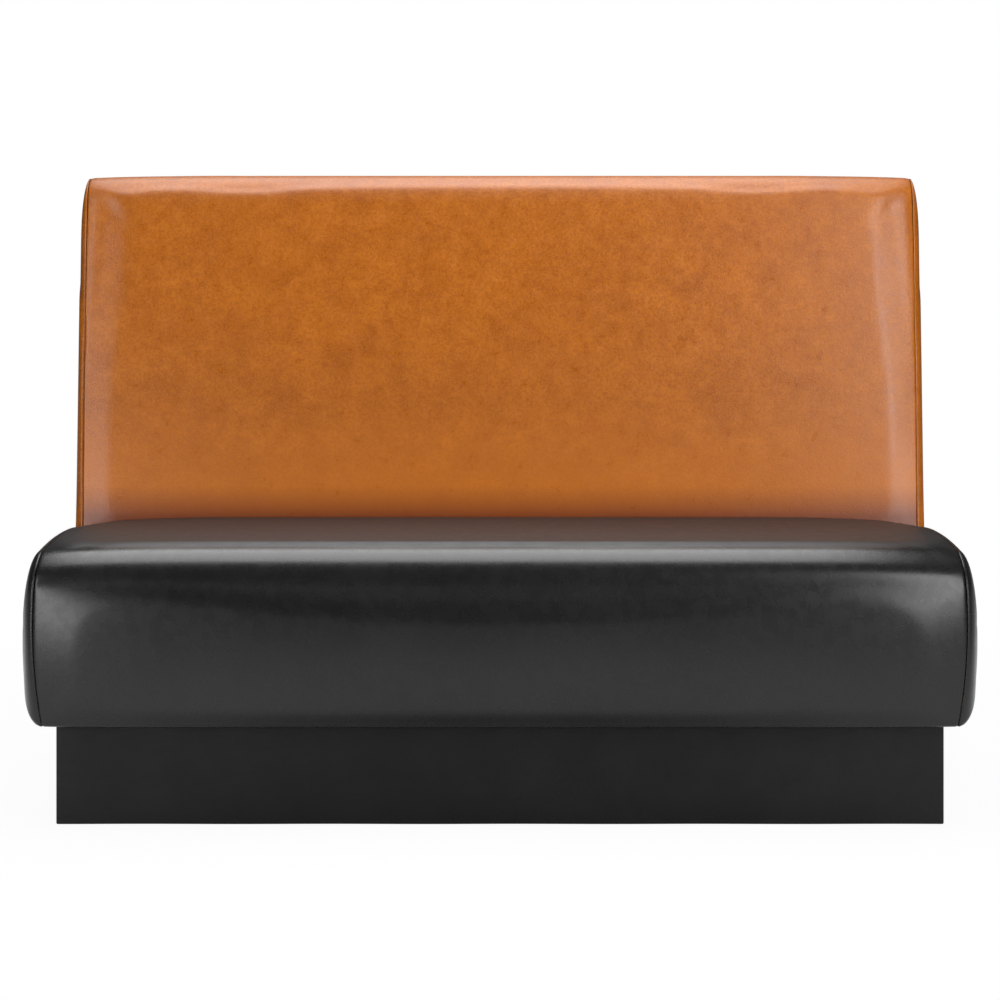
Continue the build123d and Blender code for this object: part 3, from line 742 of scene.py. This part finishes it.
def end_cover(name, outline, side, seam, reach, shape):
    """A soft end panel: rings from its tucked-in seam out to the crown, closed in the middle."""
    corners, radii, bows = outline(0, shape.slack, shape)
    counts = path_counts(corners, radii, shape.mesh_step, closed=True)
    first = rounded_path(corners, radii, bows, counts, closed=True)
    count = len(first)
    centre = sum(first, Vector((0, 0))) / count
    rings = []
    for depth, out in ((shape.tuck, 0.0010), (shape.tuck * 0.35, 0.0004)):
        rings.append((seam + out, [point + (centre - point).normalized() * depth for point in first]))
    for turn in (0, 8, 16, 25, 35, 46, 58, 70, 80, 90):
        swell = 1 - math.cos(math.radians(turn))
        corners, radii, bows = outline(swell, shape.slack * (1 - swell), shape)
        spots = rounded_path(corners, radii, bows, counts, closed=True)
        rings.append((seam + 0.0006 + (reach - seam - 0.0006) * math.sin(math.radians(turn)), spots))
    last = rings[-1][1]
    middle = sum(last, Vector((0, 0))) / count
    for share in (0.8, 0.6, 0.4, 0.2, 0.0):
        rings.append((reach + 0.0012 * (1 - share), [middle.lerp(point, share) for point in last]))

    def place(column, row):
        x, spots = rings[row]
        spot = spots[column % count]
        pulled = clamped((reach - x) / (reach - seam))
        x += seam_curve(seam, spot.y) * pulled + end_taper(seam, spot.y)
        return Vector((side * x, spot.x, spot.y))

    def held(column, row):
        return 1.0 if row < 3 else 0.0

    panel = cover_panel(name, count + 1, len(rings), place, held, closed=True)
    face_outward(panel, (side, 0, 0))
    return panel


# Stitching


def stitch_piece(settings):
    """One stitch: a short thread, thicker at its middle, sunk at both ends."""
    clear_selection()
    bpy.ops.mesh.primitive_cylinder_add(
        vertices=6, radius=settings.thread / 2, depth=settings.length, end_fill_type="TRIFAN")
    stitch = bpy.context.object
    bpy.ops.object.mode_set(mode="EDIT")
    bpy.ops.mesh.select_all(action="SELECT")
    bpy.ops.mesh.bisect(plane_co=(0, 0, settings.length * 0.28), plane_no=(0, 0, 1))
    bpy.ops.mesh.select_all(action="SELECT")
    bpy.ops.mesh.bisect(plane_co=(0, 0, -settings.length * 0.28), plane_no=(0, 0, 1))
    bpy.ops.object.mode_set(mode="OBJECT")
    for vertex in stitch.data.vertices:
        share = abs(vertex.co.z) / (settings.length / 2)
        vertex.co.x -= settings.thread * 0.55 * share ** 3
    return stitch


def spots_along(path, pitch):
    """Evenly spaced places and directions along a path of points."""
    spots = []
    travelled = 0.0
    goal = pitch / 2
    for start, finish in zip(path, path[1:]):
        run = finish - start
        while goal <= travelled + run.length:
            spots.append((start + run * ((goal - travelled) / run.length), run.normalized()))
            goal += pitch
        travelled += run.length
    return spots


def sew(name, path, cover, settings, body_point):
    """Sews a row of stitches along a path, each laid on the cover's surface."""
    base = stitch_piece(settings)
    tree = BVHTree.FromObject(cover, bpy.context.evaluated_depsgraph_get())
    made = bmesh.new()
    for spot, along in spots_along(path, settings.pitch):
        hit, normal, _, _ = tree.find_nearest(spot)
        if hit is None:
            continue
        if normal.dot(hit - body_point) < 0:
            normal = -normal
        side = normal.cross(along).normalized()
        forward = side.cross(normal).normalized()
        turn = Matrix((normal, side, forward)).transposed().to_4x4()
        place = Matrix.Translation(hit + normal * settings.thread * 0.28) @ turn
        piece = base.data.copy()
        piece.transform(place)
        made.from_mesh(piece)
        bpy.data.meshes.remove(piece)
    mesh = bpy.data.meshes.new(name)
    made.to_mesh(mesh)
    made.free()
    row = bpy.data.objects.new(name, mesh)
    bpy.context.collection.objects.link(row)
    bpy.data.objects.remove(base)
    take(row)
    bpy.ops.object.shade_smooth()
    return row


# Operators


class BOOTH_OT_finishes(bpy.types.Operator):
    """Makes the booth's finishes and gives them to the frame's own pieces"""

    bl_idname = "booth.finishes"
    bl_label = "Finishes"

    def execute(self, context):
        colours = context.scene.booth_colours
        tan_leather(colours, "tan_hide", False)
        # A second copy of the leather, with painted light and painted shade, for the back's face
        tan_leather(colours, "tan_hide_painted_light_and_shade", True)
        black_vinyl(colours)
        plinth_vinyl(colours)
        sewing_thread("tan_thread", rgb(150, 84, 34), rgb(104, 50, 14))
        sewing_thread("black_thread", rgb(30, 30, 31), rgb(18, 18, 19))
        woven("dust_weave", rgb(44, 44, 46), rgb(22, 22, 23), 2600.0)
        finishes = {
            "plywood": plywood(colours), "hardwood": hardwood(), "hardboard": hardboard(),
            "zinc_steel": zinc_steel(), "spring_steel": spring_steel(), "nylon": nylon(),
            "deck_cloth": woven("deck_weave", rgb(176, 146, 100), rgb(110, 84, 52), 1500.0),
            "foam": foam_finish(),
        }
        slots = {part["node"]: part["material_slot"] for part in frame["record"]["subparts"]}
        for node, obj in frame["nodes"].items():
            if slots[node] in finishes:
                dress(obj, finishes[slots[node]])
        return {"FINISHED"}


class BOOTH_OT_seat_cover(bpy.types.Operator):
    """Wraps the seat's long vinyl cover over its foam"""

    bl_idname = "booth.seat_cover"
    bl_label = "Seat cover"

    def execute(self, context):
        shape = context.scene.booth_shape
        cover = long_cover("seat_cushion", seat_profile, SEAT_SEAM, shape)
        face_outward(cover, (0, -1, 1))
        puff(cover, shape.puff_travel)
        close_cover(cover, shape.cover_thickness)
        dress(cover, found("seat_vinyl"))
        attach(cover, "booth")
        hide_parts("seat_top_cover", "seat_foam", "seat_front_pad")
        return {"FINISHED"}


class BOOTH_OT_seat_ends(bpy.types.Operator):
    """Makes the seat's two swollen end panels"""

    bl_idname = "booth.seat_ends"
    bl_label = "Seat ends"

    def execute(self, context):
        shape = context.scene.booth_shape
        for side, word in ((-1, "left"), (1, "right")):
            panel = end_cover(
                f"seat_{word}_end", seat_end_outline, side, SEAT_SEAM, SEAT_REACH - 0.001, shape)
            puff(panel, shape.puff_travel * 0.5, 2.0)
            close_cover(panel, shape.cover_thickness)
            dress(panel, found("seat_vinyl"))
            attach(panel, "booth")
            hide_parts(f"seat_{word}_cover", f"seat_{word}_pad")
        return {"FINISHED"}


class BOOTH_OT_back_cover(bpy.types.Operator):
    """Wraps the back's long leather cover up its face and over its top"""

    bl_idname = "booth.back_cover"
    bl_label = "Back cover"

    def execute(self, context):
        shape = context.scene.booth_shape
        cover = long_cover("back_cushion", back_profile, BACK_SEAM, shape)
        face_outward(cover, (0, -1, 0.2))
        puff(cover, shape.puff_travel)
        close_cover(cover, shape.cover_thickness)
        # The face gets the leather copy with painted light and painted shade above the seat
        dress(cover, found("tan_hide_painted_light_and_shade"))
        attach(cover, "booth")
        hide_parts("back_front_cover", "back_foam", "back_top_pad")
        return {"FINISHED"}


class BOOTH_OT_back_ends(bpy.types.Operator):
    """Makes the back's two end panels"""

    bl_idname = "booth.back_ends"
    bl_label = "Back ends"

    def execute(self, context):
        shape = context.scene.booth_shape
        for side, word in ((-1, "left"), (1, "right")):
            panel = end_cover(
                f"back_{word}_end", back_end_outline, side, BACK_SEAM, BACK_REACH - 0.001, shape)
            puff(panel, shape.puff_travel * 0.3, 1.0)
            close_cover(panel, shape.cover_thickness)
            dress(panel, found("tan_hide"))
            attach(panel, "booth")
            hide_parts(f"back_{word}_cover", f"back_{word}_pad")
        return {"FINISHED"}


class BOOTH_OT_outside_back(bpy.types.Operator):
    """Stretches the outside-back leather over the rear board"""

    bl_idname = "booth.outside_back"
    bl_label = "Outside back"

    def execute(self, context):
        shape = context.scene.booth_shape
        low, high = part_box("back_rear_cover")
        columns = 64
        rows = 40
        rear = high[1]
        fold = 0.0048

        def place(column, row):
            across = (column - 2) / (columns - 5)
            up = (row - 2) / (rows - 5)
            inset = max(-across, across - 1, -up, up - 1, 0) * 12
            across = clamped(across)
            up = clamped(up)
            x = low[0] + (high[0] - low[0]) * across
            z = low[2] + (high[2] - low[2]) * up
            pull = 0.0012 * (1 - min(1, 24 * min(across, 1 - across, up, 1 - up))) ** 2
            return Vector((x, rear - pull - min(inset, 1) * fold, z))

        panel = cover_panel("outside_back", columns, rows, place)
        face_outward(panel, (0, 1, 0))
        close_cover(panel, shape.cover_thickness)
        dress(panel, found("tan_hide"))
        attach(panel, "booth")
        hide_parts("back_rear_cover")
        return {"FINISHED"}


class BOOTH_OT_plinth_wrap(bpy.types.Operator):
    """Wraps the plinth's boards in black vinyl, turned under at the floor"""

    bl_idname = "booth.plinth_wrap"
    bl_label = "Plinth wrap"

    def execute(self, context):
        shape = context.scene.booth_shape
        corner = 0.005
        corners = [
            (PLINTH_LOW[0], PLINTH_HIGH[1]), (PLINTH_LOW[0], PLINTH_LOW[1]),
            (PLINTH_HIGH[0], PLINTH_LOW[1]), (PLINTH_HIGH[0], PLINTH_HIGH[1]),
        ]
        radii = [None, corner, corner, None]
        path = rounded_path(corners, radii, [0.0, 0.0, 0.0], path_counts(corners, radii, 0.016))
        path.reverse()
        base = PLINTH_LOW[2]
        under = 0.020
        heights = [base + 0.0012 * n * n for n in range(3)]
        steps = 12
        heights += [base + 0.006 + (PLINTH_HIGH[2] - base - 0.006) * n / steps for n in range(1, steps + 1)]
        columns = len(path)
        rows = len(heights) + 2
        centre = Vector((0, (PLINTH_LOW[1] + PLINTH_HIGH[1]) / 2))

        def place(column, row):
            spot = path[column].copy()
            if row < 2:
                reach = (under, 0.003)[row]
                spot.x -= math.copysign(min(reach, abs(spot.x)), spot.x)
                spot.y += reach if spot.y < centre.y else 0
                return Vector((spot.x, spot.y, base + 0.0001 * row))
            height = heights[row - 2]
            wave = 0.0003 * math.sin(path[column].x * 21 + 1.0) if row == 2 else 0
            return Vector((spot.x, spot.y, height + wave))

        wrap = cover_panel("plinth_wrap", columns, rows, place)
        face_outward(wrap, (0, -1, 0))
        close_cover(wrap, shape.cover_thickness)
        dress(wrap, found("plinth_skin"))
        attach(wrap, "booth")
        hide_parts("plinth_cover")
        return {"FINISHED"}


class BOOTH_OT_dust_cloths(bpy.types.Operator):
    """Lays the black dust cloths between the upholstered frames and the plinth"""

    bl_idname = "booth.dust_cloths"
    bl_label = "Dust cloths"

    def execute(self, context):
        for node in ("seat_dust_cover", "back_dust_cover"):
            low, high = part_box(node)
            columns = 90
            rows = 26

            def place(column, row):
                across = column / (columns - 1)
                along = row / (rows - 1)
                sag = 0.0003 * math.sin(across * 37) * math.sin(along * 9)
                return Vector((low[0] + (high[0] - low[0]) * across, low[1] + (high[1] - low[1]) * along,
                               high[2] - 0.0006 + sag))

            cloth = cover_panel(node.replace("cover", "cloth"), columns, rows, place)
            face_outward(cloth, (0, 0, -1))
            close_cover(cloth, 0.0005, 0)
            dress(cloth, found("dust_weave"))
            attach(cloth, "booth")
            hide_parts(node)
        return {"FINISHED"}


class BOOTH_OT_stitching(bpy.types.Operator):
    """Sews the top-stitch rows along the back's and the seat's end seams"""

    bl_idname = "booth.stitching"
    bl_label = "Stitching"

    def execute(self, context):
        shape = context.scene.booth_shape
        settings = context.scene.booth_stitches
        rows = (
            ("back", back_profile, BACK_SEAM, "tan_thread", "tan_leather"),
            ("seat", seat_profile, SEAT_SEAM, "black_thread", "black_vinyl"),
        )
        for word, profile, seam, thread, slot in rows:
            for side, hand in ((-1, "left"), (1, "right")):
                points = profile(seam, 0.0, shape, profile(seam, 0.0, shape))
                path = []
                for point in points:
                    x = seam + seam_curve(seam, point.y) + end_taper(seam, point.y) + settings.lap
                    path.append(Vector((side * x, point.x, point.y)))
                cover = bpy.data.objects[f"{word}_{hand}_end"]
                body_point = sum((Vector(c) for c in cover.bound_box), Vector()) / 8
                body_point.x = 0
                row = sew(f"{word}_{hand}_stitches", path, cover, settings, body_point)
                dress(row, found(thread))
                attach(row, "booth")
        return {"FINISHED"}


class BOOTH_OT_stage(bpy.types.Operator):
    """Sets the floor, the backdrop, the lamps and the camera"""

    bl_idname = "booth.stage"
    bl_label = "Stage"

    def execute(self, context):
        colours = context.scene.booth_colours
        floor = self.floor(colours)
        self.lamps()
        self.camera()
        self.world()
        context.scene.view_settings.view_transform = "Standard"
        return {"FINISHED"}

    def floor(self, colours):
        clear_selection()
        bpy.ops.mesh.primitive_plane_add(size=40, location=(0, 0, 0))
        floor = bpy.context.object
        floor.name = "floor"
        made = Finish("floor")
        made.finish(tuple(colours.floor), 0.7)
        glow = made.node("ShaderNodeEmission")
        glow.inputs["Color"].default_value = (1, 1, 1, 1)
        rays = made.node("ShaderNodeLightPath")
        mix = made.node("ShaderNodeMixShader")
        reach = made.node("ShaderNodeVectorMath", operation="LENGTH")
        made.join(made.place, reach.inputs[0])
        whiten = made.ranged(reach.outputs["Value"], 0.7, 2.4, 0.95, 1.0)
        glossy = rays.outputs["Is Glossy Ray"]
        share = made.sum(made.sum(rays.outputs["Is Camera Ray"], whiten, "MULTIPLY"), glossy)
        # Painted shadow: seen in reflections, the floor's glow is dimmed near the booth, and dimmed again
        # far away from it
        near = made.ranged(reach.outputs["Value"], 0.45, 1.0, 0.30, 1.0)
        far = made.ranged(reach.outputs["Value"], 1.8, 3.2, 1.0, 0.35)
        dimmed = made.sum(near, far, "MULTIPLY")
        shaded = made.sum(glossy, made.sum(1.0, dimmed, "SUBTRACT"), "MULTIPLY")
        made.join(made.sum(1.0, shaded, "SUBTRACT"), glow.inputs["Strength"])
        made.join(share, mix.inputs[0])
        made.join(made.shader.outputs[0], mix.inputs[1])
        made.join(glow.outputs[0], mix.inputs[2])
        made.join(mix.outputs[0], made.tree.nodes["Material Output"].inputs["Surface"])
        dress(floor, made.material)
        return floor

    def lamp(self, name, place, target, width, height, power):
        """A rectangular lamp at a place, turned to its target and unseen by the camera."""
        data = bpy.data.lights.new(name, "AREA")
        data.shape = "RECTANGLE"
        data.size = width
        data.size_y = height
        data.energy = power
        lamp = bpy.data.objects.new(name, data)
        bpy.context.collection.objects.link(lamp)
        lamp.location = place
        lamp.rotation_euler = (Vector(target) - Vector(place)).to_track_quat("-Z", "Y").to_euler()
        lamp.visible_camera = False
        return lamp

    def lamps(self):
        card = self.lamp("overhead_card", (-0.22, 0.20, 2.7), (-0.22, 0.20, 0.0), 2.55, 2.3, 111)
        card.visible_diffuse = False
        soft = self.lamp("overhead_softbox", (0, -0.5, 2.75), (0, -0.3, 0.0), 2.8, 3.1, 82)
        soft.visible_glossy = False
        fill = self.lamp("front_fill", (-0.2, -4.2, 0.9), (0, 0, 0.7), 2.6, 1.2, 66)
        fill.visible_glossy = False
        self.lamp("right_softbox", (1.95, -3.05, 1.6), (0.3, 0.1, 0.75), 1.0, 2.5, 62)
        left = self.lamp("left_softbox", (-2.2, -3.2, 0.55), (-0.6, 0.0, 0.35), 1.0, 1.1, 24)
        left.visible_diffuse = False
        strip = self.lamp("left_strip", (-2.75, -2.45, 1.6), (-0.74, 0.15, 0.75), 0.6, 1.5, 17)
        strip.visible_diffuse = False

    def camera(self):
        sensor = 36
        data = bpy.data.cameras.new("camera")
        data.sensor_width = sensor
        data.lens = sensor * 2.253
        data.shift_y = -0.2188
        data.clip_end = 100
        camera = bpy.data.objects.new("camera", data)
        bpy.context.collection.objects.link(camera)
        camera.location = (0, -3.8605, 0.875)
        camera.rotation_euler = (math.radians(90), 0, 0)
        bpy.context.scene.camera = camera

    def world(self):
        world = bpy.data.worlds.new("studio")
        bpy.context.scene.world = world
        world.use_nodes = True
        tree = world.node_tree
        background = tree.nodes["Background"]
        background.inputs["Color"].default_value = (1, 1, 1, 1)
        rays = tree.nodes.new("ShaderNodeLightPath")
        strength = tree.nodes.new("ShaderNodeMapRange")
        strength.inputs["To Min"].default_value = 0.08
        strength.inputs["To Max"].default_value = 1.0
        tree.links.new(rays.outputs["Is Camera Ray"], strength.inputs["Value"])
        tree.links.new(strength.outputs["Result"], background.inputs["Strength"])


class BOOTH_PT_panel(bpy.types.Panel):
    """The booth's steps and settings"""

    bl_idname = "BOOTH_PT_panel"
    bl_label = "Restaurant booth"
    bl_space_type = "VIEW_3D"
    bl_region_type = "UI"
    bl_category = "Booth"

    def draw(self, context):
        layout = self.layout
        for step in STEPS:
            layout.operator(step.bl_idname)
        for group in (context.scene.booth_shape, context.scene.booth_stitches, context.scene.booth_colours):
            box = layout.box()
            for key in group.__annotations__:
                box.prop(group, key)


STEPS = (
    BOOTH_OT_finishes, BOOTH_OT_seat_cover, BOOTH_OT_seat_ends, BOOTH_OT_back_cover, BOOTH_OT_back_ends,
    BOOTH_OT_outside_back, BOOTH_OT_plinth_wrap, BOOTH_OT_dust_cloths, BOOTH_OT_stitching, BOOTH_OT_stage,
)
GROUPS = (BoothShape, BoothStitches, BoothColours)


def register():
    for group in GROUPS:
        bpy.utils.register_class(group)
    for step in STEPS:
        bpy.utils.register_class(step)
    bpy.utils.register_class(BOOTH_PT_panel)
    bpy.types.Scene.booth_shape = PointerProperty(type=BoothShape)
    bpy.types.Scene.booth_stitches = PointerProperty(type=BoothStitches)
    bpy.types.Scene.booth_colours = PointerProperty(type=BoothColours)


def unregister():
    del bpy.types.Scene.booth_colours
    del bpy.types.Scene.booth_stitches
    del bpy.types.Scene.booth_shape
    bpy.utils.unregister_class(BOOTH_PT_panel)
    for step in reversed(STEPS):
        bpy.utils.unregister_class(step)
    for group in reversed(GROUPS):
        bpy.utils.unregister_class(group)


def main():
    """Builds the booth step by step."""
    register()
    bpy.ops.booth.finishes()
    bpy.ops.booth.seat_cover()
    bpy.ops.booth.seat_ends()
    bpy.ops.booth.back_cover()
    bpy.ops.booth.back_ends()
    bpy.ops.booth.outside_back()
    bpy.ops.booth.plinth_wrap()
    bpy.ops.booth.dust_cloths()
    bpy.ops.booth.stitching()
    bpy.ops.booth.stage()


if __name__ == "__main__":
    main()
